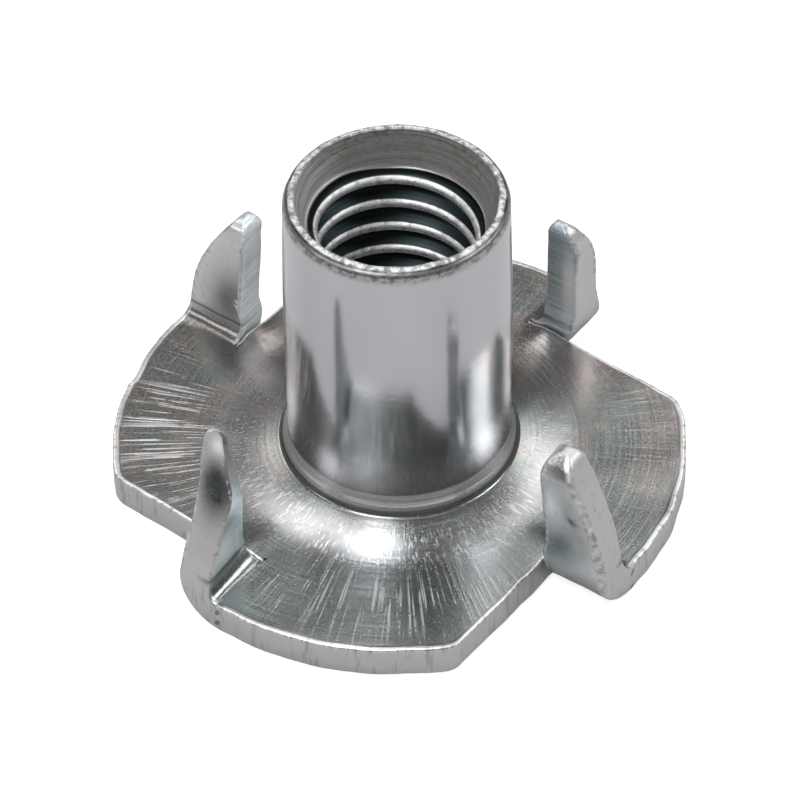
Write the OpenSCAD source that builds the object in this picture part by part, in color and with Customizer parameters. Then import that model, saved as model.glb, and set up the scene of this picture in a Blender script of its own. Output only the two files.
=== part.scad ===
// Four-prong tee nut: a threaded barrel drawn up from a round flange of sheet steel.
// The flange is slit and bent up into four prongs that bite into wood.
// Millimetres. The flange lies on z = 0 and the barrel stands along +Z, so the
// origin is where the thread's axis meets the seat of the flange.

/* [Flange] */
// Diameter of the round rim
flange_d = 19; // [16:0.5:22]
// Thickness of the sheet, in the flange and the prongs
sheet_t = 1.2; // [0.8:0.05:1.5]
// Distance from the axis to the straight slit beside each prong
slit_offset = 7.12; // [6.4:0.02:7.6]
// Width of the slit
slit_w = 0.16; // [0.1:0.02:0.4]
// Rounding of the corner where a slit leaves the rim
corner_r = 0.8; // [0.2:0.1:1.2]

/* [Prongs] */
// Number of prongs round the flange
prong_count = 4; // [3:1:4]
// Direction of the first prong's root, in degrees from +X
first_prong = 51.5; // [0:0.5:90]
// Inside radius of the bend at a prong's root
bend_r = 0.5; // [0.3:0.05:0.8]
// Rounding of a prong's tip
tip_r = 0.3; // [0.15:0.05:0.5]
// Angle that each prong is bent through, in degrees
bend_angles = [89, 87, 92, 90]; // [80:0.5:96]
// Turn of each prong about its own root, in degrees
prong_turns = [2.5, 1.5, 6, 6]; // [-10:0.5:10]
// Length that the punch draws out of each prong as it bends it
prong_stretches = [-0.1, 0, 0.5, 0.35]; // [-0.3:0.05:0.8]

/* [Barrel] */
// Height from the seat of the flange to the lip of the barrel
barrel_h = 12; // [8:0.5:18]
// Outside diameter of the straight part
barrel_d = 7.38; // [6.6:0.02:8.4]
// Outside diameter just below the lip
top_d = 7.22; // [6.4:0.02:8.2]
// Height over which the barrel narrows from the straight part to the lip
taper_h = 4; // [1:0.5:5]
// Radius of the hollow between the barrel and the flange
root_fillet_r = 0.85; // [0.3:0.05:1.2]
// Rounding of the lip's outer edge
lip_r = 0.35; // [0.1:0.05:0.45]

/* [Bore] */
// Bore at the crests of the thread: 5 mm for an M6 thread
bore_d = 5; // [4:0.1:5.4]
// Diameter of the mouth at the lip
mouth_d = 6.5; // [5.6:0.1:6.5]
// Depth of the mouth's cone, from the lip to the shoulder above the thread
mouth_depth = 1.35; // [0.5:0.05:4]
// Width of the shoulder, from the foot of the cone in to the crests of the thread
mouth_step = 0.3; // [0:0.05:0.4]
// Radius of the drawn-in entry under the flange
entry_r = 1.5; // [0.5:0.1:1.8]

/* [Hidden] */
$fn = 96;
flange_r = flange_d / 2;
// Overlap that makes cuts run clean through
cut = 1;
// Share of the sheet's thickness at which a bend keeps its length
neutral_share = 0.33;
// Distance from the axis to a prong's inner edge
prong_inner = slit_offset + slit_w;
// A prong turns about the middle of its root
prong_mid = (prong_inner + flange_r) / 2;
// Height of the line that a prong is bent about
bend_axis_z = sheet_t + bend_r;

// Length of sheet that a bend through the given angle takes up
function bend_length(angle) = PI * angle / 180 * (bend_r + neutral_share * sheet_t);

// Centre of a small circle of radius r that touches the line x = edge and, from inside, a rim of
// radius flange_r round the origin; side is 1 where the circle lies outside the line, -1 inside
function corner_centre(edge, r, side) =
    let(x = edge + side * r)
    [x, -sqrt(pow(flange_r - r, 2) - x * x)];

// Everything beyond the corner circle, between the line x = edge and the rim
module corner_wedge(edge, r, side) {
    centre = corner_centre(edge, r, side);
    reach = flange_r + cut;
    difference() {
        polygon([
            centre,
            [edge, centre[1]],
            [edge, -reach],
            [reach, -reach],
            [reach, centre[1] * reach / centre[0]],
        ]);
        translate(centre) circle(r = r);
    }
}

// Puts its children in the place of one prong: x runs outwards along its root, and the
// lobe that carries it lies at +y
module at_prong(i) {
    rotate([0, 0, first_prong + i * 360 / prong_count]) children();
}

// Turns its children about the middle of a prong's root
module turned(i) {
    translate([prong_mid, 0, 0])
        rotate([0, 0, prong_turns[i]])
            translate([-prong_mid, 0, 0])
                children();
}

// The notch that is left where a prong has been bent up, with the lobe's rounded corner
module notch_outline(i) {
    reach = flange_r + cut;
    intersection() {
        translate([slit_offset, -reach]) square([reach, reach + cut]);
        turned(i) translate([0, -2 * reach]) square([2 * reach, 2 * reach]);
    }
    corner_wedge(slit_offset, corner_r, -1);
}

// The flat flange, one lobe between each pair of prongs
module lobed_disc() {
    linear_extrude(sheet_t)
        difference() {
            circle(r = flange_r);
            for (i = [0:prong_count - 1]) at_prong(i) notch_outline(i);
        }
}

// Flat outline of the blade of a prong, past the bend: the slit's edge, the rounded tip and the
// round rim of the blank. The blade grows towards -y from the end of its bend, which has taken
// up the given length of it
module blade_outline(taken) {
    reach = flange_r + cut;
    intersection() {
        translate([0, taken]) difference() {
            circle(r = flange_r);
            corner_wedge(prong_inner, tip_r, 1);
        }
        translate([prong_inner, -reach]) square([reach, reach]);
    }
}

// One prong: the bend at its root and the blade that stands on it
module prong(i) {
    angle = bend_angles[i];
    intersection() {
        turned(i)
            translate([0, 0, bend_axis_z])
                rotate([0, 90, 0])
                    rotate([0, 0, -angle])
                        rotate_extrude(angle = angle)
                            translate([bend_r, prong_inner])
                                square([sheet_t, flange_r + cut - prong_inner]);
        translate([0, 0, sheet_t / 2]) sphere(r = flange_r);
    }
    turned(i)
        translate([0, 0, bend_axis_z])
            rotate([-angle, 0, 0])
                translate([0, 0, -bend_axis_z])
                    linear_extrude(sheet_t)
                        blade_outline(bend_length(angle) - prong_stretches[i]);
}

// Outside of the drawn barrel: the hollow at its root, the straight part, the taper and the lip
module barrel_outside() {
    hollow = [barrel_d / 2 + root_fillet_r, sheet_t + root_fillet_r];
    lip = [top_d / 2 - lip_r, barrel_h - lip_r];
    rotate_extrude() {
        difference() {
            polygon([
                [0, 0],
                [hollow[0], 0],
                hollow,
                [barrel_d / 2, hollow[1]],
                [barrel_d / 2, barrel_h - taper_h],
                [top_d / 2, lip[1]],
                [lip[0], barrel_h],
                [0, barrel_h],
            ]);
            translate(hollow) circle(r = root_fillet_r);
        }
        translate(lip) circle(r = lip_r);
    }
}

// What is cut away inside: the entry under the flange, the bore and the mouth
module bore_inside() {
    rotate_extrude()
        difference() {
            translate([0, -cut]) square([bore_d / 2 + entry_r, cut + entry_r]);
            translate([bore_d / 2 + entry_r, entry_r]) circle(r = entry_r);
        }
    translate([0, 0, -cut]) cylinder(h = barrel_h + 2 * cut, d = bore_d);
    translate([0, 0, barrel_h - mouth_depth])
        cylinder(h = mouth_depth, d1 = bore_d + 2 * mouth_step, d2 = mouth_d);
    translate([0, 0, barrel_h]) cylinder(h = cut, d = mouth_d);
}

module tee_nut() {
    color("silver")
        difference() {
            union() {
                lobed_disc();
                for (i = [0:prong_count - 1]) at_prong(i) prong(i);
                barrel_outside();
            }
            bore_inside();
        }
}

tee_nut();
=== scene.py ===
"""Four-prong tee nut: one stamped and drawn piece of zinc-plated steel, dressed on its CAD frame."""

import logging
import math
from dataclasses import dataclass, field
from enum import Enum

import bmesh
import bpy
import numpy as np
from mathutils import Matrix, Vector


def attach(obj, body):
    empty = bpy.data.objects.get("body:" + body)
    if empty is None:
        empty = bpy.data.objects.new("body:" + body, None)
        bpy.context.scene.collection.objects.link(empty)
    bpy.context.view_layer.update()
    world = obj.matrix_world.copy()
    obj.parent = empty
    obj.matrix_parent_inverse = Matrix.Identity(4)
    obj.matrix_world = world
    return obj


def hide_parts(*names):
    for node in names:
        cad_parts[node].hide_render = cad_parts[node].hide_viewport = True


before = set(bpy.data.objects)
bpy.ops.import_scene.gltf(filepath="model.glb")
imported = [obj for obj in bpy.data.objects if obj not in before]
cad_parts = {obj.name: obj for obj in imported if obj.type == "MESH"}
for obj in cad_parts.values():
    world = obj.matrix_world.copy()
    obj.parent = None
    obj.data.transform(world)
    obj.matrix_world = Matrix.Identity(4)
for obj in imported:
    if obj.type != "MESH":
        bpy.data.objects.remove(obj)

LOG = logging.getLogger("tee_nut")
MM = 0.001
PER_METRE = 1000.0
IMAGE_SIZE = 800
SENSOR_WIDTH = 36.0
SEED = 7
Grid = np.ndarray
Colour = tuple[float, float, float]


class Mark(Enum):
    """Vertex attributes that tell the finish where it is on the sheet, and where shade and highlights are
    painted.
    """

    SHEAR = "shear"
    BURR = "burr"
    BLADE = "blade"
    INNER = "inner_edge"
    CREASE = "crease"
    TORN = "torn"
    TEAL = "teal"
    SHADE = "shade"
    GLEAM = "gleam"
    CONE = "cone"
    STROKE = "stroke"
    SPARKLE = "sparkle"


class Side(Enum):
    """The four sides of a prong's blade."""

    LOBE = "lobe"
    NOTCH = "notch"
    INNER = "inner"
    OUTER = "outer"


def smoothstep(low: float, high: float, x: Grid) -> Grid:
    """Rises from 0 at low to 1 at high as 3t^2 - 2t^3, with t the share of the way between them.

    Args:
        low: Value at which the step starts.
        high: Value at which it ends.
        x: Values to look up.

    Returns:
        The step at each value.
    """
    t = np.clip((x - low) / (high - low), 0.0, 1.0)
    return t * t * (3.0 - 2.0 * t)


def ripple(points: Grid, wave: float, seed: int, count: int = 28) -> Grid:
    """Smooth random relief: the sum of sine waves of about one length in seeded random directions.

    Args:
        points: Array whose last axis holds x, y, z in millimetres.
        wave: Typical wavelength in millimetres.
        seed: Picks the pattern.
        count: How many waves are added.

    Returns:
        Heights of about -1 to 1, one for each point.
    """
    rng = np.random.default_rng(SEED + seed)
    direction = rng.normal(size=(count, 3))
    direction /= np.linalg.norm(direction, axis=1, keepdims=True)
    rate = 2.0 * math.pi / (wave * rng.uniform(0.7, 1.5, count))
    phase = rng.uniform(0.0, 2.0 * math.pi, count)
    return np.sin(points @ (direction * rate[:, None]).T + phase).sum(axis=-1) / math.sqrt(count)


def bump_at(x: Grid, centre: float, width: float) -> Grid:
    """Bell curve exp(-((x - centre) / width)^2)."""
    return np.exp(-(((x - centre) / width) ** 2))


@dataclass
class Sheet:
    """The blank: a round disc of sheet steel, slit beside each prong. Millimetres."""

    radius: float = 9.5
    thickness: float = 1.2
    slit: float = 7.12
    slit_width: float = 0.16
    corner: float = 0.8
    first_prong: float = 51.5
    fixed: float = 6.9
    lower_round: float = 0.16
    upper_round: float = 0.09

    def outline(self, angle: Grid) -> Grid:
        """Distance from the axis to the lobe's edge, by angle past the root of the prong before it.

        The edge is the round rim, then a small rounding circle, then the straight slit beside the
        next prong, which lies slit / cos(angle) from the axis.

        Args:
            angle: Degrees, from 0 at this lobe's own prong to 90 at the next.

        Returns:
            Radii in millimetres.
        """
        past = np.radians(angle - 90.0)
        x = self.slit - self.corner
        y = -math.sqrt((self.radius - self.corner) ** 2 - x * x)
        chord = self.slit / np.cos(past)
        along = x * np.cos(past) + y * np.sin(past)
        off = x * np.sin(past) - y * np.cos(past)
        arc = along + np.sqrt(np.maximum(self.corner**2 - off**2, 0.0))
        edge = np.where(past > math.atan2(y, self.slit), chord, arc)
        return np.where(past < math.atan2(y, x), self.radius, edge)


@dataclass
class Barrel:
    """The drawn barrel with its bore, mouth and M6 thread. Millimetres."""

    height: float = 12.0
    radius: float = 3.69
    top_radius: float = 3.61
    straight_top: float = 8.0
    fillet_out: float = 4.06
    flare_out: float = 6.0
    flare_rise: float = 0.27
    collar_out: float = 3.86
    collar_low: float = 1.72
    collar_high: float = 2.26
    lip_round: float = 0.35
    mouth: float = 3.25
    mouth_depth: float = 1.35
    mouth_step: float = 0.3
    minor: float = 2.5
    major: float = 3.0
    crest_round: float = 0.11
    crest_half: float = 0.165
    runout: float = 0.2
    pitch: float = 1.0
    crest_height: float = 0.05
    entry: float = 1.5
    thread_low: float = 0.38
    thread_rows: tuple[float, ...] = (
        -0.18, -0.11, 0.0, 0.11, 0.18, 0.28, 0.39, 0.455, 0.545, 0.61, 0.72)

    def bore(self, turn: Grid, height: Grid) -> Grid:
        """Radius of the threaded wall: the wider of the entry's curve and the thread.

        The thread's wall bulges in a little across a crest, by crest_round x share^2, climbs at 30
        degrees from square to the major radius, and stays there at the root. Its phase is
        height / pitch - turn.

        Args:
            turn: Turns about the axis from +X.
            height: Height above the seat.

        Returns:
            Radii in millimetres.
        """
        phase = (height - self.crest_height) / self.pitch - turn
        away = np.abs(phase - np.round(phase))
        crown = self.crest_round * np.clip(away / self.crest_half, 0.0, 1.0) ** 2
        climb = (away - self.crest_half) * self.pitch / math.tan(math.radians(30.0))
        thread = self.minor + crown + np.clip(climb, 0.0, self.major - self.minor - self.crest_round)
        below = self.shoulder(turn) - height
        deepest = self.minor + self.mouth_step + 0.2 * smoothstep(0.0, 0.55, below) - 0.01
        thread = np.minimum(thread, deepest)
        drop = np.clip(self.entry - height, 0.0, self.entry)
        entry = self.minor + self.entry - np.sqrt(self.entry**2 - drop**2)
        return np.maximum(thread, entry)

    def cone(self, height: Grid) -> Grid:
        """Radius of the mouth's cone: straight from the shoulder's outer edge to the lip."""
        foot = self.minor + self.mouth_step
        share = (height - self.height + self.mouth_depth) / self.mouth_depth
        return foot + (self.mouth - foot) * share

    def shoulder(self, turn: Grid) -> Grid:
        """Height of the cone's foot: level, but lifted by the runout where the thread breaks out."""
        lift = smoothstep(0.25, 0.37, turn) * (1.0 - smoothstep(0.55, 0.95, turn))
        return self.height - self.mouth_depth + self.runout * lift

    def flare(self, radius: Grid) -> Grid:
        """Rise of the flange's top round the barrel: a parabola, flare_rise x share^2, that ends flat."""
        share = np.clip((self.flare_out - radius) / (self.flare_out - self.fillet_out), 0.0, 1.0)
        return self.flare_rise * share**2

    def thread_heights(self, turn: Grid) -> Grid:
        """Rows that climb with the thread: (row + turn) x pitch, held between the thread's two ends.

        Args:
            turn: Turns about the axis from +X, one for each column.

        Returns:
            Heights from the top down, one row for each column.
        """
        turns = math.ceil((self.height - self.thread_low) / self.pitch) + 1
        steps = np.concatenate([k + np.array(self.thread_rows) for k in range(-1, turns + 1)])
        heights = (steps[None, ::-1] + turn[:, None]) * self.pitch + self.crest_height
        return np.clip(heights, self.thread_low, self.shoulder(turn)[:, None])


@dataclass(frozen=True)
class Tint:
    """A soft patch of one mark on one side of a blade, by shares of its width and height."""

    mark: Mark
    side: Side
    strength: float
    across: float = 0.5
    wide: float = 2.0
    up: float = 0.5
    tall: float = 2.0


@dataclass(frozen=True)
class Spot:
    """A soft patch on the flange's top. Millimetres and degrees past +X."""

    radius: float
    half_width: float
    angle: float
    half_angle: float
    strength: float

    def strength_at(self, radius: Grid, around: Grid) -> Grid:
        """The patch's strength: a bell by radius times a bell by angle.

        Args:
            radius: Distance from the axis.
            around: Degrees past +X.

        Returns:
            Its strength at each point.
        """
        off = (around - self.angle + 180.0) % 360.0 - 180.0
        across = bump_at(radius, self.radius, self.half_width)
        return self.strength * across * bump_at(off, 0.0, self.half_angle)


@dataclass
class Prong:
    """One prong, bent up out of the blank along a line that runs out from the axis.

    Lengths are millimetres, angles degrees, and each place that ends in at or from is a share of
    the prong's length. trim narrows the rim side, grow widens the inner edge, the cuts thin the tip
    from the lobe's and the notch's side, bevel and scoop slope the rim side off towards the tip, and
    dent presses the notch's face in.
    """

    bend: float
    turn: float
    stretch: float
    trim: float = 0.0
    trim_at: float = 0.5
    grow_foot: float = 0.0
    grow_tip: float = 0.0
    lobe_cut: float = 0.0
    lobe_from: float = 0.8
    notch_cut: float = 0.0
    notch_from: float = 0.8
    tip_round: float = 0.3
    scoop: float = 0.0
    dent: float = 0.0
    dent_at: float = 0.6
    bevel: float = 0.0
    bevel_from: float = 0.5
    web: float = 0.3
    seed: int = 0
    tints: tuple[Tint, ...] = ()


@dataclass
class BladeRun:
    """How a prong's width changes along it: one value for each step from the root to the tip."""

    taken: float
    length: float
    h: Grid
    high: Grid
    past: Grid
    v_in: Grid
    v_out: Grid

    @property
    def wide(self) -> Grid:
        """Width of the blade at each step, as a column."""
        return (self.v_out - self.v_in)[:, None]


@dataclass
class BladeSection:
    """A prong's closed section at each step, before wear: places and marks, steps by rows."""

    v: Grid
    across: Grid
    lobe_side: Grid
    shear: Grid
    inner_edge: Grid
    corners: Grid


@dataclass
class TeeNut:
    """The whole nut as one closed surface: a section carried round the axis, and four bent prongs."""

    sheet: Sheet = field(default_factory=Sheet)
    barrel: Barrel = field(default_factory=Barrel)
    bend_radius: float = 0.5
    neutral: float = 0.33
    end_round: float = 0.3
    prongs: tuple[Prong, ...] = (
        Prong(bend=89.0, turn=2.5, stretch=-0.05, trim=0.58, trim_at=0.36, grow_tip=0.06,
              notch_cut=0.5, notch_from=0.84, dent=0.08, web=0.12, seed=1, tints=(
                  Tint(Mark.TEAL, Side.INNER, 0.9), Tint(Mark.SHADE, Side.INNER, 0.4, up=0.85, tall=0.3),
                  Tint(Mark.GLEAM, Side.INNER, 1.2, across=0.2, wide=0.24, up=0.52, tall=0.28))),
        Prong(bend=87.0, turn=1.5, stretch=0.08, trim=-0.10, trim_at=0.6, lobe_cut=0.25,
              lobe_from=0.86, grow_tip=0.12, tip_round=0.4, scoop=0.06, web=0.12, seed=2, tints=(
                  Tint(Mark.TEAL, Side.INNER, 0.9), Tint(Mark.GLEAM, Side.INNER, 0.35),
                  Tint(Mark.SHADE, Side.LOBE, 0.75, across=0.22, wide=0.40, up=0.40, tall=0.24),
                  Tint(Mark.GLEAM, Side.LOBE, 0.5, across=0.95, wide=0.12, up=0.72, tall=0.2))),
        Prong(bend=92.0, turn=6.0, stretch=1.05, trim=0.60, trim_at=0.62, lobe_cut=0.70,
              lobe_from=0.60, bevel=0.30, bevel_from=0.52, web=0.08, seed=3, tints=(
                  Tint(Mark.TEAL, Side.LOBE, 1.0, up=0.45, tall=0.4),
                  Tint(Mark.GLEAM, Side.LOBE, 0.7, across=0.7, wide=0.3, up=0.38, tall=0.07),
                  Tint(Mark.GLEAM, Side.LOBE, 0.7, across=0.8, wide=0.4, up=0.62, tall=0.07),
                  Tint(Mark.SHADE, Side.LOBE, 0.55, across=0.8, wide=0.5, up=0.50, tall=0.05),
                  Tint(Mark.SHADE, Side.LOBE, 0.45, across=0.7, wide=0.5, up=0.20, tall=0.07),
                  # Near this tip: torn stain, with painted shade and a painted highlight over it.
                  Tint(Mark.TORN, Side.LOBE, 1.0, up=0.92, tall=0.18),
                  Tint(Mark.TORN, Side.OUTER, 0.8, across=0.6, wide=0.55, up=0.71, tall=0.15),
                  Tint(Mark.SHADE, Side.OUTER, 1.4, across=0.62, wide=0.46, up=0.70, tall=0.14),
                  Tint(Mark.GLEAM, Side.OUTER, 1.0, across=0.85, wide=0.35, up=0.93, tall=0.05))),
        Prong(bend=90.0, turn=6.0, stretch=0.16, trim=0.06, trim_at=0.5, grow_foot=0.20,
              grow_tip=0.42, notch_cut=0.5, notch_from=0.88, tip_round=0.55, dent=0.26,
              dent_at=0.45, web=0.10, seed=4, tints=(
                  Tint(Mark.TEAL, Side.NOTCH, 0.55, across=0.15, wide=0.35, up=0.72, tall=0.2),
                  Tint(Mark.TEAL, Side.NOTCH, 0.9, across=0.2, wide=0.36, up=0.32, tall=0.2),
                  Tint(Mark.SHADE, Side.NOTCH, 0.85, across=0.22, wide=0.3, up=0.36, tall=0.14),
                  # At this tip: torn stain, with painted shade over it.
                  Tint(Mark.TORN, Side.NOTCH, 1.0, across=0.6, wide=0.8, up=0.95, tall=0.055),
                  Tint(Mark.SHADE, Side.NOTCH, 0.6, across=0.75, wide=0.5, up=0.95, tall=0.05),
                  Tint(Mark.GLEAM, Side.NOTCH, 0.6, across=0.22, wide=0.14, up=0.70, tall=0.10),
                  Tint(Mark.SHADE, Side.NOTCH, 1.0, across=0.58, wide=0.09, up=0.60, tall=0.03))),
    )
    steps: int = 72
    step_crowding: float = 1.6
    kerf_left: float = 0.02
    kerf_run: float = 0.7
    least_width: float = 0.04
    trim_reach: float = 0.3
    tip_flat: float = 0.3
    web_at: tuple[float, float] = (7.0, -0.85)
    web_size: float = 0.8
    nick_at: float = 161.5
    nick_depth: float = 0.10
    nick_spread: float = 5.0
    # Where the flange's top is stroked; the strokes are lightened most on the left and front lobes, a
    # painted highlight where they catch the light.
    stroke_spots: tuple[Spot, ...] = (
        Spot(7.9, 1.35, 178.0, 22.0, 1.0), Spot(7.5, 1.4, 262.0, 30.0, 0.7),
        Spot(8.0, 1.3, 0.0, 26.0, 0.15), Spot(7.6, 1.3, 85.0, 26.0, 0.30))
    # Where highlights are painted on the flange's top, round the barrel's root.
    sparkle_spots: tuple[Spot, ...] = (
        Spot(5.0, 0.60, 239.0, 22.0, 1.0), Spot(5.0, 0.55, 342.0, 20.0, 0.9),
        Spot(5.2, 0.8, 290.0, 50.0, 0.35), Spot(5.2, 0.9, 200.0, 40.0, 0.2))

    def columns(self) -> Grid:
        """Angles of the section within a quarter, closer together round the lobe's corner."""
        return np.concatenate([
            np.linspace(0.0, 43.0, 36, endpoint=False),
            np.linspace(43.0, 54.0, 26, endpoint=False),
            np.linspace(54.0, 90.0, 31),
        ])

    def edge_rows(self) -> Grid:
        """The sheared edge in section, from the lower face to the upper.

        A quarter circle of the lower rounding, a straight wall and a quarter circle of the upper
        rounding, as how far each point stands inside the outline and its height.

        Returns:
            Rows of (inset, height).
        """
        s = self.sheet
        low = np.linspace(0.0, math.pi / 2, 5)
        high = np.linspace(0.0, math.pi / 2, 5)
        wall = np.linspace(s.lower_round, s.thickness - s.upper_round, 5)[1:-1]
        return np.concatenate([
            np.stack([s.lower_round * (1 - np.sin(low)), s.lower_round * (1 - np.cos(low))], -1),
            np.stack([np.zeros_like(wall), wall], -1),
            np.stack([s.upper_round * (1 - np.cos(high)),
                      s.thickness - s.upper_round * (1 - np.sin(high))], -1),
        ])

    def outer_shares(self) -> tuple[Grid, Grid]:
        """Shares of the way from the fixed circle to the rim, for the lower and the upper face."""
        return np.linspace(0.0, 1.0, 8)[:-1], np.linspace(1.0, 0.0, 13)[1:]

    def quarter(self, index: int) -> tuple[Grid, dict[Mark, Grid], slice]:
        """One quarter of the nut without its prong: the section at each angle.

        The section runs out under the flange, up its edge, in over its top, up the hollow at the
        barrel's root, up the barrel, over the lip, down the cone and the thread, and out over the
        entry, back to where it began.

        Args:
            index: Which quarter, by the prong that it starts from.

        Returns:
            Points as columns by rows, the marks of each point, and the rows past the fixed circle.
        """
        s, b = self.sheet, self.barrel
        local = self.columns()
        angle = np.radians(s.first_prong + 90.0 * index + local)
        turn = angle / (2.0 * math.pi)
        count = len(local)
        unit = np.stack([np.cos(angle), np.sin(angle), np.zeros(count)], -1)
        rim = self.sheared(s.outline(local), local, unit, index)

        def level(radii: Grid, height: float) -> Grid:
            """Rows of one height, with the same radii in every column."""
            return np.broadcast_to(np.stack([radii, np.full_like(radii, height)], -1),
                                   (count, len(radii), 2))

        lower, upper = self.outer_shares()
        edge = self.edge_rows()
        out_low = s.fixed + (rim[:, None] - s.lower_round - s.fixed) * lower[None, :]
        out_high = s.fixed + (rim[:, None] - s.upper_round - s.fixed) * upper[None, :]
        flare_radii = np.linspace(s.fixed, b.fillet_out, 25)[1:-1]
        flare = np.stack([flare_radii, s.thickness + b.flare(flare_radii)], -1)
        hollow = self.hollow_rows()
        shaft = self.shaft_rows()
        heights = b.thread_heights(turn)
        thread = np.stack([b.bore(turn[:, None], heights), heights], -1)
        foot = b.shoulder(turn)[:, None]
        share = np.linspace(0.0, 1.0, 9)[None, :]
        cone_height = (b.height - 0.04) * (1 - share) + foot * share
        cone = np.stack([b.cone(cone_height), cone_height], -1)
        entry_height = np.linspace(b.thread_low, 0.0, 6)[1:]
        entry = level(b.bore(np.zeros(5) + 0.5, entry_height), 0.0).copy()
        entry[..., 1] = entry_height
        parts = [
            level(np.linspace(b.minor + b.entry, s.fixed, 9)[1:-1], 0.0),
            np.stack([out_low, np.zeros_like(out_low)], -1),
            np.stack([rim[:, None] - edge[None, :, 0], np.tile(edge[:, 1], (count, 1))], -1),
            np.stack([out_high, np.full_like(out_high, s.thickness)], -1),
            np.broadcast_to(flare, (count, *flare.shape)),
            np.broadcast_to(hollow, (count, *hollow.shape)),
            np.broadcast_to(shaft, (count, *shaft.shape)),
            cone,
            thread,
            entry,
        ]
        flat = np.concatenate(parts, axis=1)
        sizes = [p.shape[1] for p in parts]
        points = unit[:, None, :] * flat[..., :1]
        points[..., 2] = flat[..., 1]
        starts = np.concatenate([[0], np.cumsum(sizes)])
        marks = {mark: np.zeros(points.shape[:2]) for mark in Mark}
        marks[Mark.SHEAR][:, starts[2]:starts[3]] = 1.0
        marks[Mark.BURR][:, starts[3] - 4:starts[3] - 1] = 1.0
        marks[Mark.CONE][:, starts[7]:starts[8]] = 1.0
        top = slice(starts[3], starts[5])
        around = np.tile(np.degrees(angle)[:, None], (1, starts[5] - starts[3]))
        marks[Mark.STROKE][:, top] = self.covered(self.stroke_spots, flat[:, top, 0], around)
        marks[Mark.SPARKLE][:, top] = self.covered(self.sparkle_spots, flat[:, top, 0], around)
        return self.relief(points, flat[..., 0]), marks, slice(starts[1], starts[4])

    def sheared(self, rim: Grid, local: Grid, unit: Grid, index: int) -> Grid:
        """The rim as the shear left it: random ripples that fade out at the prongs, and one nick.

        The nick is a bell by angle, cut off square on its far side.

        Args:
            rim: Radii of the clean outline.
            local: Degrees past the quarter's own prong.
            unit: Direction of each column from the axis.
            index: Which quarter.

        Returns:
            Radii in millimetres.
        """
        fade = smoothstep(0.0, 3.0, local) * smoothstep(0.0, 3.0, 90.0 - local)
        on_rim = unit * self.sheet.radius
        rim = rim - fade * (0.02 + 0.018 * ripple(on_rim, 1.6, 10 + index)
                            + 0.008 * ripple(on_rim, 0.5, 20 + index))
        around = np.degrees(np.radians(self.sheet.first_prong + 90.0 * index + local))
        near_side = smoothstep(self.nick_at + 1.0, self.nick_at, around)
        return rim - self.nick_depth * near_side * bump_at(around, self.nick_at, self.nick_spread)

    @staticmethod
    def covered(spots: tuple[Spot, ...], radius: Grid, around: Grid) -> Grid:
        """How strongly soft patches cover the flange's top: their sum, up to 1.

        Args:
            spots: The patches.
            radius: Distance from the axis.
            around: Degrees past +X.

        Returns:
            Their strength at each point.
        """
        return np.clip(sum(spot.strength_at(radius, around) for spot in spots), 0.0, 1.0)

    def hollow_rows(self) -> Grid:
        """The hollow at the barrel's root: a concave curve, then the collar pressed by the die.

        A quarter of an ellipse from the flange's top to the collar's foot, a short steep face and
        a softer shoulder onto the barrel.

        Returns:
            Rows of (radius, height).
        """
        b, t = self.barrel, self.sheet.thickness + self.barrel.flare_rise
        sweep = np.linspace(0.06 * math.pi / 2, 0.88 * math.pi / 2, 9)
        wide, tall = b.fillet_out - b.collar_out, b.collar_low - t
        curve = np.stack([b.fillet_out - wide * np.sin(sweep), t + tall * (1 - np.cos(sweep))], -1)
        rise = np.array([0.0, 0.1, 0.38, 0.44, 0.50, 0.86, 1.0])
        inward = np.array([0.0, 0.02, 0.40, 0.52, 0.56, 0.90, 1.0])
        collar = np.stack([b.collar_out + (b.radius + 0.005 - b.collar_out) * inward,
                           b.collar_low + (b.collar_high - b.collar_low) * rise], -1)
        return np.concatenate([curve, collar])

    def shaft_rows(self) -> Grid:
        """The barrel's outside and lip: straight, then narrowing, then a rounded edge and a flat top."""
        b = self.barrel
        height = np.concatenate([np.linspace(b.collar_high + 0.1, b.straight_top, 8),
                                 np.linspace(b.straight_top, b.height - b.lip_round, 7)[1:]])
        share = np.clip((height - b.straight_top) / (b.height - b.lip_round - b.straight_top), 0, 1)
        side = np.stack([b.radius + (b.top_radius - b.radius) * share, height], -1)
        sweep = np.linspace(0.0, math.pi / 2, 8)[1:]
        centre = b.top_radius - b.lip_round
        lip = np.stack([centre + b.lip_round * np.cos(sweep),
                        b.height - b.lip_round * (1 - np.sin(sweep))], -1)
        inner = np.array([(b.mouth + 0.008, b.height - 0.006), (b.mouth - 0.008, b.height - 0.02)])
        return np.concatenate([side, lip, inner])

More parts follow.
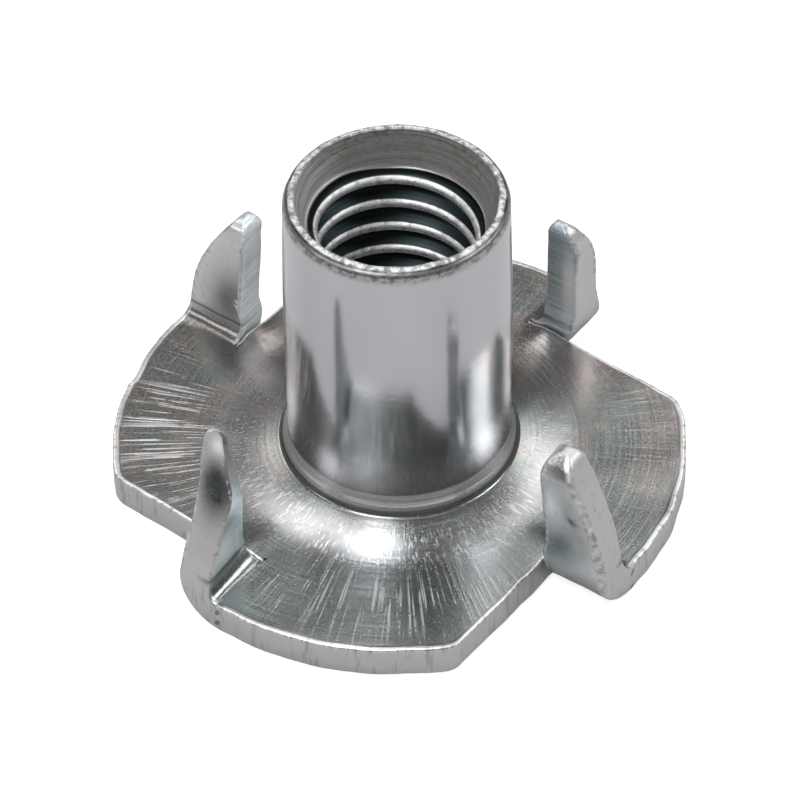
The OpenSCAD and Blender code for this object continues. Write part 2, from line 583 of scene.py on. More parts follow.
    def relief(self, points: Grid, radius: Grid) -> Grid:
        """Small unevenness of the stamped metal, kept inside the part's own box.

        Random ripples lower the flange's top, and others push the lip and the mouth sideways. Beside
        each prong's root the sheet is drawn up in a small bell, the web.

        Args:
            points: Points of the surface.
            radius: Distance of each from the axis.

        Returns:
            The moved points.
        """
        s, b = self.sheet, self.barrel
        z = points[..., 2]
        top = (z > s.thickness - 1e-6) & (z < b.collar_low - 0.2) & (radius > b.fillet_out - 1e-6)
        out = smoothstep(b.fillet_out, 5.2, radius)
        sink = 0.006 * (1 + ripple(points, 2.6, 1)) + 0.0015 * (1 + ripple(points, 0.8, 2))
        z = np.where(top, z - out * np.clip(sink, 0.0, 0.06), z)
        lip = smoothstep(b.height - 0.5, b.height - 0.1, z)
        shift = lip * (0.008 * ripple(points, 1.1, 3) + 0.004 * ripple(points, 0.35, 4))
        drop = lip * np.clip(0.007 * (1 + ripple(points, 0.9, 5)) + 0.004 * ripple(points, 0.3, 6),
                             0.0, 0.04)
        for index, prong in enumerate(self.prongs):
            a = math.radians(s.first_prong + 90.0 * index)
            along = points[..., 0] * math.cos(a) + points[..., 1] * math.sin(a)
            across = points[..., 1] * math.cos(a) - points[..., 0] * math.sin(a)
            near = bump_at(along, self.web_at[0], self.web_size) * bump_at(
                across, self.web_at[1], self.web_size)
            z = z + prong.web * near * smoothstep(0.0, self.web_size, -across)
        moved = points.copy()
        scale = 1.0 - np.clip(shift, -0.05, 0.05) / np.maximum(radius, 1.0)
        moved[..., :2] *= scale[..., None]
        moved[..., 2] = z - drop
        return moved

    def blade_run(self, p: Prong) -> BladeRun:
        """How a prong's two edges run along the flat sheet.

        A point is given by its distance v from the axis and its distance h from the bend's start.
        The inner limit of v is the slit, the outer is the blank's rim, sqrt(radius^2 - h^2), and a
        small circle joins them at the tip. Steps crowd towards the tip.

        Args:
            p: The prong.

        Returns:
            Its run.
        """
        s = self.sheet
        taken = math.radians(p.bend) * (self.bend_radius + self.neutral * s.thickness)
        inner = s.slit + s.slit_width
        tip_v = inner - p.grow_tip + p.tip_round
        tip_h = math.sqrt((s.radius - p.tip_round) ** 2 - tip_v**2)
        top = tip_h + p.tip_round
        share = 1.0 - (1.0 - np.linspace(0.0, 1.0, self.steps + 1)[1:]) ** self.step_crowding
        length = top + p.stretch
        h = length * share
        high = h / length
        past = np.maximum(h - taken, 0.0)
        blank = np.minimum(h - p.stretch * smoothstep(0.0, 1.0, past / (length - taken)), top - 1e-4)
        over = np.clip(blank - tip_h, 0.0, p.tip_round)
        round_half = np.sqrt(np.maximum(p.tip_round**2 - over**2, 0.0))
        grown = p.grow_foot + (p.grow_tip - p.grow_foot) * smoothstep(0.3, 0.9, high)
        grown = grown * smoothstep(taken * 0.4, taken + 0.5, h)
        kerf = (s.slit_width - self.kerf_left) * (1.0 - smoothstep(taken, taken + self.kerf_run, h))
        v_in = np.where(blank > tip_h, tip_v - round_half, inner - grown - kerf)
        meet = tip_h * s.radius / (s.radius - p.tip_round)
        v_out = np.where(blank > meet, tip_v + round_half, np.sqrt(s.radius**2 - blank**2))
        v_out = v_out - p.trim * bump_at(high, p.trim_at, self.trim_reach) * smoothstep(0.0, taken, h)
        v_out = np.maximum(v_out, v_in + self.least_width)
        return BladeRun(taken, length, h, high, past, v_in, v_out)

    def blade_section(self, run: BladeRun) -> BladeSection:
        """The closed section at each step: lower face, outer edge, upper face, inner edge and back.

        Its edges have the flange's own rounded section, made smaller where the blade is narrow.

        Args:
            run: The prong's run.

        Returns:
            The section, with its side walls and corners marked.
        """
        s, v_in, v_out = self.sheet, run.v_in, run.v_out
        lower, upper = self.outer_shares()
        edge = self.edge_rows()
        count = len(run.h)
        half = 0.5 * (v_out - v_in)
        soft = np.minimum(1.0, half / 0.2)[:, None]
        inset = np.minimum(edge[None, :, 0] * soft, 0.9 * half[:, None])
        low_in, low_out = v_in + s.lower_round * soft[:, 0], v_out - s.lower_round * soft[:, 0]
        top_in, top_out = v_in + s.upper_round * soft[:, 0], v_out - s.upper_round * soft[:, 0]
        low_face = low_in[:, None] + (low_out - low_in)[:, None] * lower[None, :]
        top_face = top_in[:, None] + (top_out - top_in)[:, None] * upper[None, :]
        v = np.concatenate([low_face, v_out[:, None] - inset, top_face,
                            np.tile(top_in[:, None], (1, len(upper))),
                            (v_in[:, None] + inset)[:, ::-1],
                            np.tile(low_in[:, None], (1, len(lower)))], axis=1)
        tall = np.tile(edge[:, 1], (count, 1))
        low, high = np.zeros((count, len(lower))), np.full((count, len(upper)), s.thickness)
        lobe_side = np.concatenate([low, tall, high, high, tall[:, ::-1], low], axis=1) / s.thickness
        wall, no_wall, plain = np.ones_like(tall), np.zeros_like(tall), np.zeros_like(high)
        corner = np.tile((edge[:, 0] > 1e-6).astype(float), (count, 1))
        return BladeSection(
            v=v,
            across=(v - v_in[:, None]) / np.maximum(v_out - v_in, 0.05)[:, None],
            lobe_side=lobe_side,
            shear=np.concatenate([low, wall, plain, plain, no_wall, low], axis=1),
            inner_edge=np.concatenate([low, no_wall, plain, plain, wall, low], axis=1),
            corners=np.concatenate([low, corner, plain, plain, corner[:, ::-1], low], axis=1),
        )

    def worn(self, p: Prong, run: BladeRun, cut: BladeSection) -> tuple[Grid, Grid]:
        """The section as the punch and wear left it: thinned, blunted, dented and sloped.

        The tip is squeezed along a quarter circle, the cuts grow in a line from where they begin,
        and the dent is a bell by width times a bell by height.

        Args:
            p: The prong.
            run: Its run.
            cut: Its section.

        Returns:
            Distance from the axis and height in the sheet, for each point.
        """
        lobe = np.clip((run.high - p.lobe_from) / (1 - p.lobe_from), 0.0, 1.0)[:, None]
        notch = np.clip((run.high - p.notch_from) / (1 - p.notch_from), 0.0, 1.0)[:, None]
        floor_z = p.notch_cut * notch**1.5
        roof_z = self.sheet.thickness - p.lobe_cut * lobe
        blunt = np.clip((run.h - run.length + self.end_round) / self.end_round, 0.0, 1.0)[:, None]
        squeeze = self.tip_flat + (1.0 - self.tip_flat) * np.sqrt(1.0 - blunt**2)
        middle = 0.5 * (floor_z + roof_z)
        z = middle + (cut.lobe_side - 0.5) * (roof_z - floor_z) * squeeze
        dent = p.dent * bump_at(cut.across, 0.4, 0.32) * bump_at(run.high[:, None], p.dent_at, 0.2)
        z = z + np.where(cut.lobe_side < 0.5, dent, 0.0)
        slant = p.bevel * smoothstep(p.bevel_from, p.bevel_from + 0.16, run.high)[:, None]
        slant = np.minimum(slant, 0.33 * run.wide)
        towards_lobe = np.clip((cut.lobe_side - 0.1) / 0.9, 0.0, 1.0)
        v = cut.v - slant * smoothstep(0.25, 1.0, cut.across) * towards_lobe
        scoop = np.minimum(p.scoop * smoothstep(0.5, 0.9, run.high)[:, None], 0.1 * run.wide)
        return v - scoop * smoothstep(0.6, 1.0, cut.across), z

    def bent_up(self, p: Prong, run: BladeRun, v: Grid, z: Grid) -> Grid:
        """Carries the flat blade round its bend and turns it about the middle of its root.

        In the bend h becomes an angle about the bend's axis, and past it a distance along the
        blade. The turn grows smoothly through the bend, and fine ripples unsettle the faces.

        Args:
            p: The prong.
            run: Its run.
            v: Distance of each point from the axis.
            z: Height of each point in the sheet.

        Returns:
            Points with the root along x and the lobe at +y.
        """
        s = self.sheet
        bend = math.radians(p.bend)
        through = np.minimum(run.h, run.taken)[:, None] / run.taken
        bent = through * bend
        reach = self.bend_radius + s.thickness - z
        beyond = run.past[:, None]
        side = -reach * np.sin(bent) - beyond * math.cos(bend)
        up = s.thickness + self.bend_radius - reach * np.cos(bent) + beyond * math.sin(bend)
        swing = np.radians(p.turn) * smoothstep(0.0, 1.0, through)
        centre = 0.5 * (s.slit + s.slit_width + s.radius)
        x = centre + (v - centre) * np.cos(swing) - side * np.sin(swing)
        y = (v - centre) * np.sin(swing) + side * np.cos(swing)
        local = np.stack([x, y, up], -1)
        return local + (smoothstep(0.0, 0.6, run.h)[:, None] * 0.012
                        * ripple(local, 0.8, 40 + p.seed))[..., None] * np.array([0.6, 0.8, 0.0])

    @staticmethod
    def blade_marks(p: Prong, run: BladeRun, cut: BladeSection) -> dict[Mark, Grid]:
        """What the finish is told about a prong: its sides, its corners and its soft patches.

        Args:
            p: The prong.
            run: Its run.
            cut: Its section.

        Returns:
            Each mark, with a first row of zeros for the section that the flange shares.
        """
        h, taken = run.h, run.taken
        on_lobe = smoothstep(0.55, 0.9, cut.lobe_side)
        above = np.broadcast_to(smoothstep(taken * 0.5, taken + 0.2, h)[:, None], cut.v.shape)
        faces = (1 - cut.shear) * (1 - cut.inner_edge)
        sides = {Side.LOBE: on_lobe * faces, Side.NOTCH: (1 - on_lobe) * faces,
                 Side.INNER: cut.inner_edge, Side.OUTER: cut.shear}
        tinted = {mark: np.zeros_like(cut.v) for mark in Mark}
        for tint in p.tints:
            place = cut.lobe_side if tint.side in (Side.INNER, Side.OUTER) else cut.across
            tinted[tint.mark] += (tint.strength * sides[tint.side] * above
                                  * bump_at(place, tint.across, tint.wide)
                                  * bump_at(run.high[:, None], tint.up, tint.tall))
        early = cut.inner_edge * smoothstep(0.0, 0.4 * taken, h)[:, None]
        values = {
            Mark.SHEAR: cut.shear,
            Mark.BURR: cut.corners * above,
            Mark.BLADE: np.maximum(above, early),
            Mark.INNER: cut.inner_edge * above,
            # painted shade: a dark line along the foot of the bend, on the lobe side
            Mark.CREASE: on_lobe * bump_at(h, taken + 0.06, 0.07)[:, None],
        }
        pad = np.zeros((1, cut.v.shape[1]))
        return {mark: np.concatenate([pad, np.clip(values.get(mark, 0.0) + tinted[mark], 0.0, 1.0)])
                for mark in Mark}

    def blade(self, index: int, start: Grid) -> tuple[Grid, dict[Mark, Grid]]:
        """One prong: a closed section carried up the bend and the blade to its rounded tip.

        Args:
            index: Which prong.
            start: Points of the first section, shared with the flange.

        Returns:
            Points as steps by rows, and the marks of each.
        """
        p = self.prongs[index]
        run = self.blade_run(p)
        cut = self.blade_section(run)
        local = self.bent_up(p, run, *self.worn(p, run, cut))
        a = math.radians(self.sheet.first_prong + 90.0 * index)
        spin = np.array([[math.cos(a), math.sin(a), 0], [-math.sin(a), math.cos(a), 0], [0, 0, 1]])
        return np.concatenate([start[None], local @ spin]), self.blade_marks(p, run, cut)

    def build(self) -> bpy.types.Object:
        """Joins the four quarters and the four prongs into one closed mesh.

        Returns:
            The nut, in metres, with its marks as vertex attributes.
        """
        quarters = [self.quarter(k) for k in range(4)]
        pieces: list[tuple[Grid, dict[Mark, Grid], bool]] = []
        for index, (points, marks, outer) in enumerate(quarters):
            pieces.append((points, marks, True))
            before = quarters[index - 1][0][-1, outer]
            start = np.concatenate([points[0, outer], before[::-1]])
            pieces.append((*self.blade(index, start), False))
        verts, faces, marks = self.stitch(pieces)
        mesh = bpy.data.meshes.new("tee_nut_body")
        mesh.from_pydata(verts * MM, [], faces)
        for mark, values in marks.items():
            layer = mesh.attributes.new(mark.value, "FLOAT", "POINT")
            layer.data.foreach_set("value", values.astype(np.float32))
        weld(mesh)
        nut = bpy.data.objects.new("tee_nut_body", mesh)
        bpy.context.scene.collection.objects.link(nut)
        return nut

    def stitch(self, pieces: list[tuple[Grid, dict[Mark, Grid], bool]]
               ) -> tuple[Grid, list[list[int]], dict[Mark, Grid]]:
        """Numbers the grids' points one after another and lists their four-sided faces.

        Args:
            pieces: Points and marks of each grid, and whether it is a quarter or a prong.

        Returns:
            All points, all faces, and the marks in the points' order.
        """
        verts, faces = [], []
        marks: dict[Mark, list[Grid]] = {mark: [] for mark in Mark}
        base = 0
        for points, values, whole in pieces:
            rows, cols = points.shape[:2]
            ids = base + np.arange(rows * cols).reshape(rows, cols)
            nxt = np.roll(ids, -1, axis=1)
            quads = np.stack([ids[:-1], ids[1:], nxt[1:], nxt[:-1]], -1).reshape(-1, 4)
            if not whole:
                quads = quads[:, ::-1]
            faces.extend(quads.tolist())
            if not whole:
                faces.append(ids[-1].tolist())
            verts.append(points.reshape(-1, 3))
            for mark in Mark:
                marks[mark].append(np.asarray(values[mark]).reshape(-1))
            base += rows * cols
        return np.concatenate(verts), faces, {m: np.concatenate(v) for m, v in marks.items()}


def weld(mesh: bpy.types.Mesh, distance: float = 1.0e-7) -> None:
    """Merges points that meet, drops faces with no area and turns every face outwards.

    Args:
        mesh: The mesh to mend.
        distance: Points closer than this many metres become one.
    """
    work = bmesh.new()
    work.from_mesh(mesh)
    bmesh.ops.remove_doubles(work, verts=work.verts, dist=distance)
    bmesh.ops.dissolve_degenerate(work, edges=work.edges, dist=distance)
    bmesh.ops.triangulate(work, faces=[f for f in work.faces if len(f.verts) > 4])
    bmesh.ops.recalc_face_normals(work, faces=work.faces)
    open_edges = sum(1 for e in work.edges if len(e.link_faces) != 2)
    work.to_mesh(mesh)
    work.free()
    mesh.shade_smooth()
    LOG.info("welded: %d points, %d faces, %d open edges", len(mesh.vertices), len(mesh.polygons),
             open_edges)


@dataclass(frozen=True)
class Value:
    """A shader socket that takes part in arithmetic: each operator adds a Math node."""

    tree: bpy.types.NodeTree
    socket: bpy.types.NodeSocket

    def math(self, operation: str, *others: "Value | float") -> "Value":
        """Adds a Math node of this value and others.

        Args:
            operation: The Math node's operation.
            others: The further inputs.

        Returns:
            The node's result.
        """
        node = self.tree.nodes.new("ShaderNodeMath")
        node.operation = operation
        for slot, item in enumerate((self, *others)):
            if isinstance(item, Value):
                self.tree.links.new(item.socket, node.inputs[slot])
            else:
                node.inputs[slot].default_value = item
        return Value(self.tree, node.outputs[0])

    def __add__(self, other: "Value | float") -> "Value":
        """Sum."""
        return self.math("ADD", other)

    __radd__ = __add__

    def __mul__(self, other: "Value | float") -> "Value":
        """Product."""
        return self.math("MULTIPLY", other)

    __rmul__ = __mul__

    def __sub__(self, other: "Value | float") -> "Value":
        """Difference."""
        return self.math("SUBTRACT", other)

    def __rsub__(self, other: float) -> "Value":
        """Difference from a number."""
        return (self * -1.0).math("ADD", other)

    def __truediv__(self, other: "Value | float") -> "Value":
        """Quotient."""
        return self.math("DIVIDE", other)

    def __rtruediv__(self, other: float) -> "Value":
        """Quotient of a number by this value."""
        return self.math("POWER", -1.0) * other

    def at_most(self, limit: float) -> "Value":
        """This value, cut off above the limit."""
        return self.math("MINIMUM", limit)

    def at_least(self, limit: float) -> "Value":
        """This value, cut off below the limit."""
        return self.math("MAXIMUM", limit)

    def step(self, low: float, high: float) -> "Value":
        """Smooth rise from 0 at low to 1 at high."""
        node = self.tree.nodes.new("ShaderNodeMapRange")
        node.interpolation_type = "SMOOTHSTEP"
        self.tree.links.new(self.socket, node.inputs["Value"])
        node.inputs["From Min"].default_value = low
        node.inputs["From Max"].default_value = high
        return Value(self.tree, node.outputs["Result"])


class Shader:
    """Builds one material's nodes."""

    def __init__(self, name: str) -> None:
        """Starts an empty material.

        Args:
            name: The material's name.
        """
        self.material = bpy.data.materials.new(name)
        self.material.use_nodes = True
        self.tree = self.material.node_tree
        self.tree.nodes.clear()

    def node(self, kind: str, settings: dict[str, object] | None = None,
             **inputs: object) -> bpy.types.Node:
        """Adds a node, sets it up, then fills its sockets.

        Args:
            kind: The node's type.
            settings: Its own settings, set first.
            inputs: Values or links by socket name, with _ for a space, or by i and a number.

        Returns:
            The node.
        """
        node = self.tree.nodes.new(kind)
        for key, value in (settings or {}).items():
            setattr(node, key, value)
        for key, value in inputs.items():
            numbered = key[0] == "i" and key[1:].isdigit()
            socket = node.inputs[int(key[1:]) if numbered else key.replace("_", " ")]
            if isinstance(value, Value):
                value = value.socket
            if isinstance(value, bpy.types.NodeSocket):
                self.tree.links.new(value, socket)
            else:
                socket.default_value = value
        return node

    def attribute(self, mark: Mark) -> Value:
        """One of the nut's vertex marks."""
        node = self.node("ShaderNodeAttribute", {"attribute_name": mark.value})
        return Value(self.tree, node.outputs["Fac"])

    def blend(self, share: Value, low: object, high: object) -> bpy.types.NodeSocket:
        """Mixes two colours by a share.

        Args:
            share: 0 for the first colour, 1 for the second.
            low: The first colour or its socket.
            high: The second colour or its socket.

        Returns:
            The mixed colour.
        """
        node = self.node("ShaderNodeMix", {"data_type": "RGBA"}, i0=share)
        for socket, item in ((node.inputs[6], low), (node.inputs[7], high)):
            if isinstance(item, bpy.types.NodeSocket):
                self.tree.links.new(item, socket)
            else:
                socket.default_value = (*item, 1.0)
        return node.outputs[2]

    def noise(self, vector: bpy.types.NodeSocket, scale: float, detail: float,
              roughness: float) -> Value:
        """Noise of about 0 to 1.

        Args:
            vector: Where it is looked up.
            scale: Its frequency.
            detail: Its number of octaves.
            roughness: Strength of the finer octaves.

        Returns:
            The noise.
        """
        node = self.node("ShaderNodeTexNoise", None, Vector=vector, Scale=scale, Detail=detail,
                         Roughness=roughness)
        return Value(self.tree, node.outputs[0])


class PlatePlaces:
    """Where a point is on the nut, as masks of 0 to 1, and the plate's own patterns.

    Heights and radii are in millimetres. A pattern that is drawn out repeats fast round the axis
    and slowly along a length.
    """

    def __init__(self, sh: Shader) -> None:
        """Adds the nodes of every mask and pattern.

        Args:
            sh: The material that they belong to.
        """
        place = sh.node("ShaderNodeTexCoord").outputs["Object"]
        split = sh.node("ShaderNodeSeparateXYZ", None, Vector=place)
        x, y, z = (Value(sh.tree, split.outputs[k]) * PER_METRE for k in range(3))
        radius = (x * x + y * y).math("SQRT")
        safe = radius + 0.001
        round_x, round_y = x / safe, y / safe
        in_mm = sh.node("ShaderNodeVectorMath", {"operation": "SCALE"}, i0=place,
                        Scale=PER_METRE).outputs[0]

        def drawn_out(across: float, along: Value) -> bpy.types.NodeSocket:
            """Coordinates that repeat fast round the axis and slowly along the given length."""
            return sh.node("ShaderNodeCombineXYZ", None, X=round_x * across, Y=round_y * across,
                           Z=along).outputs[0]

        self.left, self.front, self.z = x * -1.0, y * -1.0, z
        self.shear = sh.attribute(Mark.SHEAR).step(0.35, 0.75)
        self.inner = sh.attribute(Mark.INNER).step(0.35, 0.75)
        self.burr, self.blade = sh.attribute(Mark.BURR), sh.attribute(Mark.BLADE)
        self.torn, self.crease = sh.attribute(Mark.TORN), sh.attribute(Mark.CREASE)
        self.stroke, self.sparkle = sh.attribute(Mark.STROKE), sh.attribute(Mark.SPARKLE)
        self.teal, self.shade = sh.attribute(Mark.TEAL), sh.attribute(Mark.SHADE)
        self.gleam = sh.attribute(Mark.GLEAM)
        outside = radius.step(3.45, 3.6)
        self.off_blade = 1.0 - self.blade
        self.shaft = z.step(2.0, 2.4) * self.off_blade * outside
        self.inside = (1.0 - outside) * self.off_blade
        low_collar = z.step(1.6, 1.74) * (1.0 - z.step(2.2, 2.3))
        self.collar = (1.0 - radius.step(3.92, 4.0)) * low_collar * outside
        self.flange = ((1.0 - self.shaft) * (1.0 - self.inside) * self.off_blade
                       * (1.0 - self.collar)).at_least(0.0)
        self.mouth = self.inside * sh.attribute(Mark.CONE)
        threaded = self.inside * z.step(0.9, 1.3) * (1.0 - self.mouth)
        # The thread's roots, where painted shade darkens the colour.
        self.groove = threaded * radius.step(2.61, 2.67)
        self.crest = threaded - self.groove
        self.lip = z.step(11.91, 11.96)
        self.below_lip = z.step(11.44, 11.70) * (1.0 - self.lip) * (1.0 - self.inside)

        self.lines = sh.noise(drawn_out(78.0, radius * 0.30), 1.0, 1.0, 0.4).step(0.52, 0.66)
        self.breaks = sh.noise(drawn_out(24.0, radius * 0.8), 1.0, 2.0, 0.5).step(0.34, 0.52)
        self.hoops = sh.noise(drawn_out(1.3, radius * 7.0), 1.0, 2.0, 0.5)
        self.dashes = sh.noise(drawn_out(62.0, radius * 3.0), 1.0, 2.0, 0.5).step(0.54, 0.66)
        self.specks = sh.noise(in_mm, 15.0, 2.0, 0.6).step(0.60, 0.72)
        self.grain = sh.noise(in_mm, 11.0, 3.0, 0.6)
        self.flecks = sh.noise(in_mm, 4.5, 4.0, 0.65)
        self.cloud = sh.noise(in_mm, 0.9, 4.0, 0.6)
        self.drift = sh.noise(in_mm, 0.45, 3.0, 0.5)
        self.rings = sh.noise(drawn_out(0.5, z * 9.0), 1.6, 3.0, 0.6)
        self.seams = sh.noise(drawn_out(0.6, z * 11.0), 1.0, 2.0, 0.5)
        self.drawn = sh.noise(drawn_out(18.0, z * 0.4), 1.0, 3.0, 0.5)
        self.torn_wall = sh.noise(drawn_out(55.0, z * 0.7), 1.0, 3.0, 0.6)
        # Scratches and specks, lightened as painted highlights on the stroke and sparkle patches.
        self.scratches_and_highlights = (self.stroke * self.lines * self.breaks + self.sparkle * self.dashes
                       + self.specks * 0.24).at_most(1.0) * self.flange


@dataclass(frozen=True)
class ZincPlate:
    """Bright zinc plate on drawn steel: mirror-like barrel, stroked flange, pale sheared edges."""

    bright: Colour = (0.61, 0.615, 0.645)
    dull: Colour = (0.27, 0.259, 0.25)
    pale: Colour = (0.66, 0.67, 0.68)
    teal: Colour = (0.50, 0.63, 0.67)
    edge: Colour = (0.61, 0.61, 0.615)
    shade: Colour = (0.045, 0.055, 0.06)
    cone: Colour = (0.26, 0.275, 0.265)
    stain: Colour = (0.20, 0.15, 0.135)
    green: Colour = (0.205, 0.235, 0.23)
    pink: Colour = (0.37, 0.31, 0.315)
    # near black: painted shade for the thread's roots and the bend's crease
    recess_shade: Colour = (0.020, 0.028, 0.030)
    # near white: bright wear, and also the colour of painted highlights
    worn: Colour = (0.93, 0.93, 0.94)

    def layers(self, n: PlatePlaces) -> list[tuple[Value, Colour]]:
        """Coats of colour from the lowest up: the share that each one covers, and its colour.

        Args:
            n: The nut's places and patterns.

        Returns:
            The coats.
        """
        blotch = n.cloud.step(0.44, 0.58)
        on_blade = n.inner * n.blade
        corner = n.burr * n.blade
        stained_high = 0.2 + blotch * 0.3 + n.z.step(11.2, 11.9) * 0.35
        front_or_drift = (n.front.step(0.5, 5.0) + n.drift.step(0.48, 0.62)).at_most(1.0)
        return [
            ((n.shaft + n.collar + n.inside * 0.5).at_most(1.0), self.bright),
            (n.drift.step(0.48, 0.36) * n.flange * 0.35, self.pink),
            (front_or_drift * n.flange * 0.8, self.green),
            (n.grain.step(0.52, 0.38) * n.flange * 0.38, self.stain),
            (n.mouth * 0.9, self.cone),
            (n.mouth * n.flecks.step(0.46, 0.62) * stained_high, self.stain),
            # painted highlight: the cone's left side lightened where the light falls
            (n.mouth * n.left.step(1.4, 3.2) * (0.25 + n.rings.step(0.45, 0.60) * 0.6), self.worn),
            (n.seams.step(0.50, 0.42) * (n.collar + n.mouth * 0.5) * 0.5, self.stain),
            # painted highlight: the thread's crests lightened towards white
            (n.crest * (0.9 - n.flecks.step(0.50, 0.62) * 0.55), self.worn),
            # painted shade: the thread's roots darkened to near black
            (n.groove * n.inside, self.recess_shade),
            (n.blade, self.pale),
            (n.teal * (0.75 + n.cloud * 0.4), self.teal),
            (on_blade * n.rings.step(0.48, 0.62) * 0.45, self.worn),
            (on_blade * n.rings.step(0.46, 0.36) * 0.35, self.shade),
            (n.shear * (1.0 - n.torn), self.edge),
            (n.shear * n.torn_wall.step(0.46, 0.34) * n.off_blade * 0.35, self.stain),
            # stain on torn facets near the tips, partly painted shade: a dark reflection painted on one
            # prong's rim side
            (n.torn * (0.55 + blotch * 0.35), self.stain),
            (n.shade * (0.7 + n.grain * 0.5), self.shade),
            (corner * n.flecks.step(0.47, 0.62) * 0.5, self.stain),
            (corner * n.flecks.step(0.46, 0.36) * 0.5, self.worn),
            (n.blade * n.flecks.step(0.56, 0.72) * 0.35, self.stain),
            # painted shade: the crease at the foot of each bend darkened
            (n.crease * 0.8, self.recess_shade),
            (n.burr * n.torn_wall.step(0.42, 0.55) * n.off_blade, self.worn),
            (n.below_lip * (0.3 + n.flecks.step(0.44, 0.58) * 0.55), self.stain),
            (n.lip * (0.25 + n.flecks.step(0.62, 0.40) * 0.55), self.worn),
            (n.collar * 0.45, self.worn),
            # painted highlight: bright patches on the flange round the barrel's root
            (n.sparkle * n.flange * (0.55 + n.dashes * 0.4), self.worn),
            # scratches lightened, and painted highlights: the flange's patches and the prongs' gleams
            ((n.scratches_and_highlights * 0.5 + n.gleam).at_most(1.0) * 0.9, self.worn),
        ]

    @staticmethod
    def metal(n: PlatePlaces) -> Value:
        """How metallic the plate is: fully, but less where it is rough, marked or worn, and where a
        highlight is painted.
        """
        return (1.0 - n.scratches_and_highlights * 0.35 - n.gleam * 0.6 - n.blade * 0.35 - n.teal * 0.25
                - n.mouth * 0.55 - n.lip * 0.3 - n.collar * 0.2).at_least(0.1)

    @staticmethod
    def rough(n: PlatePlaces) -> Value:
        """How rough each place is, with a fine grain everywhere but on the barrel."""
        return (n.shaft * 0.15 + n.collar * 0.20 + n.mouth * 0.32 + n.crest * 0.48 + n.groove * 0.4
                + n.flange * 0.23 + n.blade * 0.30 + n.shear * 0.10 + n.sparkle * n.flange * 0.08
                + n.scratches_and_highlights * 0.06 + n.lip * 0.20 + n.below_lip * 0.10
                + n.grain * 0.04 * (1.0 - n.shaft))

    @staticmethod
    def relief(n: PlatePlaces) -> Value:
        """Height of the fine relief in millimetres, one line or more for each place."""
        return (n.lines * n.breaks * n.stroke * n.flange * 0.009
                + n.dashes * n.sparkle * n.flange * 0.006
                + n.specks * n.flange * 0.002 + n.grain * n.flange * 0.002 + n.hoops * n.flange * 0.006
                + n.rings * n.mouth * 0.030 + n.seams * n.collar * 0.012
                + n.drawn * n.shaft * 0.0010 + n.cloud * n.shaft * 0.006
                + n.grain * n.blade * 0.003 + n.cloud * n.blade * 0.036 + n.flecks * n.blade * 0.008
                + n.torn_wall * n.shear * n.off_blade * 0.012 + n.grain * n.torn * 0.02
                + n.flecks * n.crest * 0.032 + n.flecks * (n.lip + n.below_lip) * 0.020
                + n.torn_wall * n.inner * 0.010)

    def build(self) -> bpy.types.Material:
        """Makes the plate's material.

        Returns:
            The material.
        """
        sh = Shader("bright_zinc_plate")
        n = PlatePlaces(sh)
        base: object = self.dull
        for share, colour in self.layers(n):
            base = sh.blend(share, base, colour)
        bump = sh.node("ShaderNodeBump", None, Strength=1.0, Distance=MM, Height=self.relief(n))
        shader = sh.node("ShaderNodeBsdfPrincipled", None, Base_Color=base, Metallic=self.metal(n),
                         Roughness=self.rough(n), Normal=bump.outputs[0])
        sh.node("ShaderNodeOutputMaterial", None, Surface=shader.outputs[0])
        return sh.material


@dataclass(frozen=True)
class PaleGround:
    """The plain pale floor: it glows for the camera and in reflections, and keeps the shadow."""

    colour: Colour = (0.45, 0.45, 0.45)
    camera_glow: float = 0.85
    glossy_glow: float = 0.085

    def build(self) -> bpy.types.Material:
        """Makes the floor's material.

        Returns:
            The material.
        """
        sh = Shader("pale_ground")
        path = sh.node("ShaderNodeLightPath")
        camera = Value(sh.tree, path.outputs["Is Camera Ray"])
        glossy = Value(sh.tree, path.outputs["Is Glossy Ray"])
        through = Value(sh.tree, path.outputs["Is Transmission Ray"])
        glow = camera * self.camera_glow + (glossy + through) * self.glossy_glow
        matt = sh.node("ShaderNodeBsdfDiffuse", None, Color=(*self.colour, 1.0))
        light = sh.node("ShaderNodeEmission", None, Color=(1.0, 1.0, 1.0, 1.0), Strength=glow)
        both = sh.node("ShaderNodeAddShader", None, i0=matt.outputs[0], i1=light.outputs[0])
        sh.node("ShaderNodeOutputMaterial", None, Surface=both.outputs[0])
        return sh.material


@dataclass
class Ground:
    """A wide flat floor just under the nut."""

    half: float = 1.5
    drop: float = 0.00002
    finish: PaleGround = field(default_factory=PaleGround)

    def build(self) -> bpy.types.Object:
        """Makes the floor.

        Returns:
            The floor.
        """
        h = self.half
        mesh = bpy.data.meshes.new("ground")
        corners = [(-h, -h, -self.drop), (h, -h, -self.drop), (h, h, -self.drop), (-h, h, -self.drop)]
        mesh.from_pydata(corners, [], [(0, 1, 2, 3)])
        mesh.materials.append(self.finish.build())
        ground = bpy.data.objects.new("ground", mesh)
        bpy.context.scene.collection.objects.link(ground)
        return ground


@dataclass(frozen=True)
class Softbox:
    """One square studio lamp that faces the nut."""

    name: str
    place: tuple[float, float, float]
    size: float
    watts: float
    colour: Colour = (1.0, 1.0, 1.0)
    aim: tuple[float, float, float] = (0.0, 0.0, 0.005)

    def build(self) -> bpy.types.Object:
        """Adds the lamp, turned towards the nut.

        Returns:
            The lamp.
        """
        light = bpy.data.lights.new(self.name, "AREA")
        light.size = self.size
        light.energy = self.watts
        light.color = self.colour
        lamp = bpy.data.objects.new(self.name, light)
        lamp.location = self.place
        towards = Vector(self.aim) - Vector(self.place)
        lamp.rotation_euler = towards.to_track_quat("-Z", "Y").to_euler()
        bpy.context.scene.collection.objects.link(lamp)
        return lamp


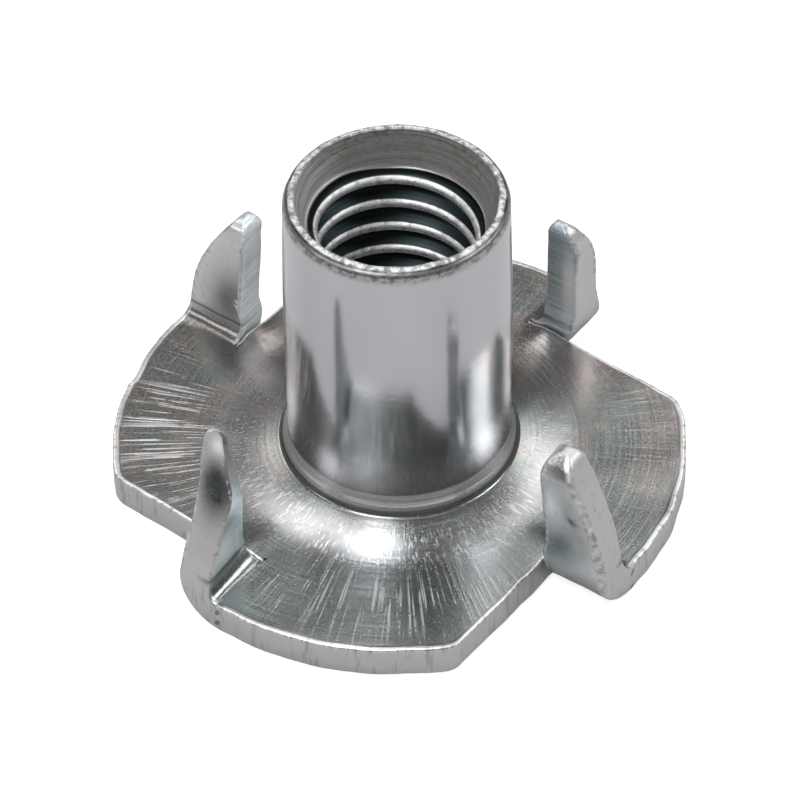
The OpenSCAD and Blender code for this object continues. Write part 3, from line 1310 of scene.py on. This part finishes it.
@dataclass
class Studio:
    """Soft lamps, a dim even world and the camera."""

    elevation: float = 44.83
    roll: float = -0.752
    distance: float = 0.14768
    target: tuple[float, float, float] = (0.000029, 0.0, 0.002957)
    focal_px: float = 4504.1
    world: float = 0.20
    world_colour: Colour = (1.0, 0.98, 0.96)
    lamps: tuple[Softbox, ...] = (
        Softbox("overhead", (-0.05, 0.12, 0.60), 0.35, 1.00),
        Softbox("front_high", (-0.16, -0.23, 0.53), 0.18, 1.75),
        Softbox("left_patch", (-0.036, 0.30, 0.516), 0.14, 0.20),
        Softbox("right_patch", (0.096, 0.39, 0.444), 0.08, 0.09),
        Softbox("left_side", (-0.47, -0.16, 0.33), 0.18, 0.30),
        Softbox("right_side", (0.44, 0.02, 0.41), 0.20, 1.00),
        Softbox("left_back", (-0.35, 0.40, 0.40), 0.25, 0.60),
        Softbox("right_back", (0.30, 0.42, 0.45), 0.20, 0.50),
    )

    def build(self) -> None:
        """Sets the world, the lamps and the camera."""
        world = bpy.data.worlds.new("studio")
        bpy.context.scene.world = world
        world.use_nodes = True
        back = world.node_tree.nodes["Background"]
        back.inputs["Color"].default_value = (*self.world_colour, 1.0)
        back.inputs["Strength"].default_value = self.world
        for lamp in self.lamps:
            lamp.build()
        self.camera()

    def camera(self) -> bpy.types.Object:
        """Adds the camera, which looks level with the nut's front and down at the elevation.

        Returns:
            The camera.
        """
        lens = bpy.data.cameras.new("camera")
        lens.sensor_width = SENSOR_WIDTH
        lens.lens = SENSOR_WIDTH * self.focal_px / IMAGE_SIZE
        lens.clip_start = 0.01
        eye = bpy.data.objects.new("camera", lens)
        e, r = math.radians(self.elevation), math.radians(self.roll)
        ahead = Vector((0.0, math.cos(e), -math.sin(e)))
        right = Vector((1.0, 0.0, 0.0))
        up = right.cross(ahead)
        side = math.cos(r) * right + math.sin(r) * up
        head = -math.sin(r) * right + math.cos(r) * up
        turn = Matrix((side, head, -ahead)).transposed()
        eye.matrix_world = Matrix.Translation(Vector(self.target) - self.distance * ahead) @ turn.to_4x4()
        bpy.context.scene.collection.objects.link(eye)
        bpy.context.scene.camera = eye
        return eye


def main() -> None:
    """Builds the nut, the floor, the lamps and the camera."""
    logging.basicConfig(level=logging.INFO, format="%(name)s: %(message)s")
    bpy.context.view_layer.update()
    nut = TeeNut().build()
    nut.data.materials.append(ZincPlate().build())
    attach(nut, "root")
    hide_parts("tee_nut")
    LOG.info("tee nut built")
    Ground().build()
    LOG.info("ground laid")
    Studio().build()
    LOG.info("studio lit")
    bpy.context.scene.view_settings.view_transform = "Standard"


if __name__ == "__main__":
    main()
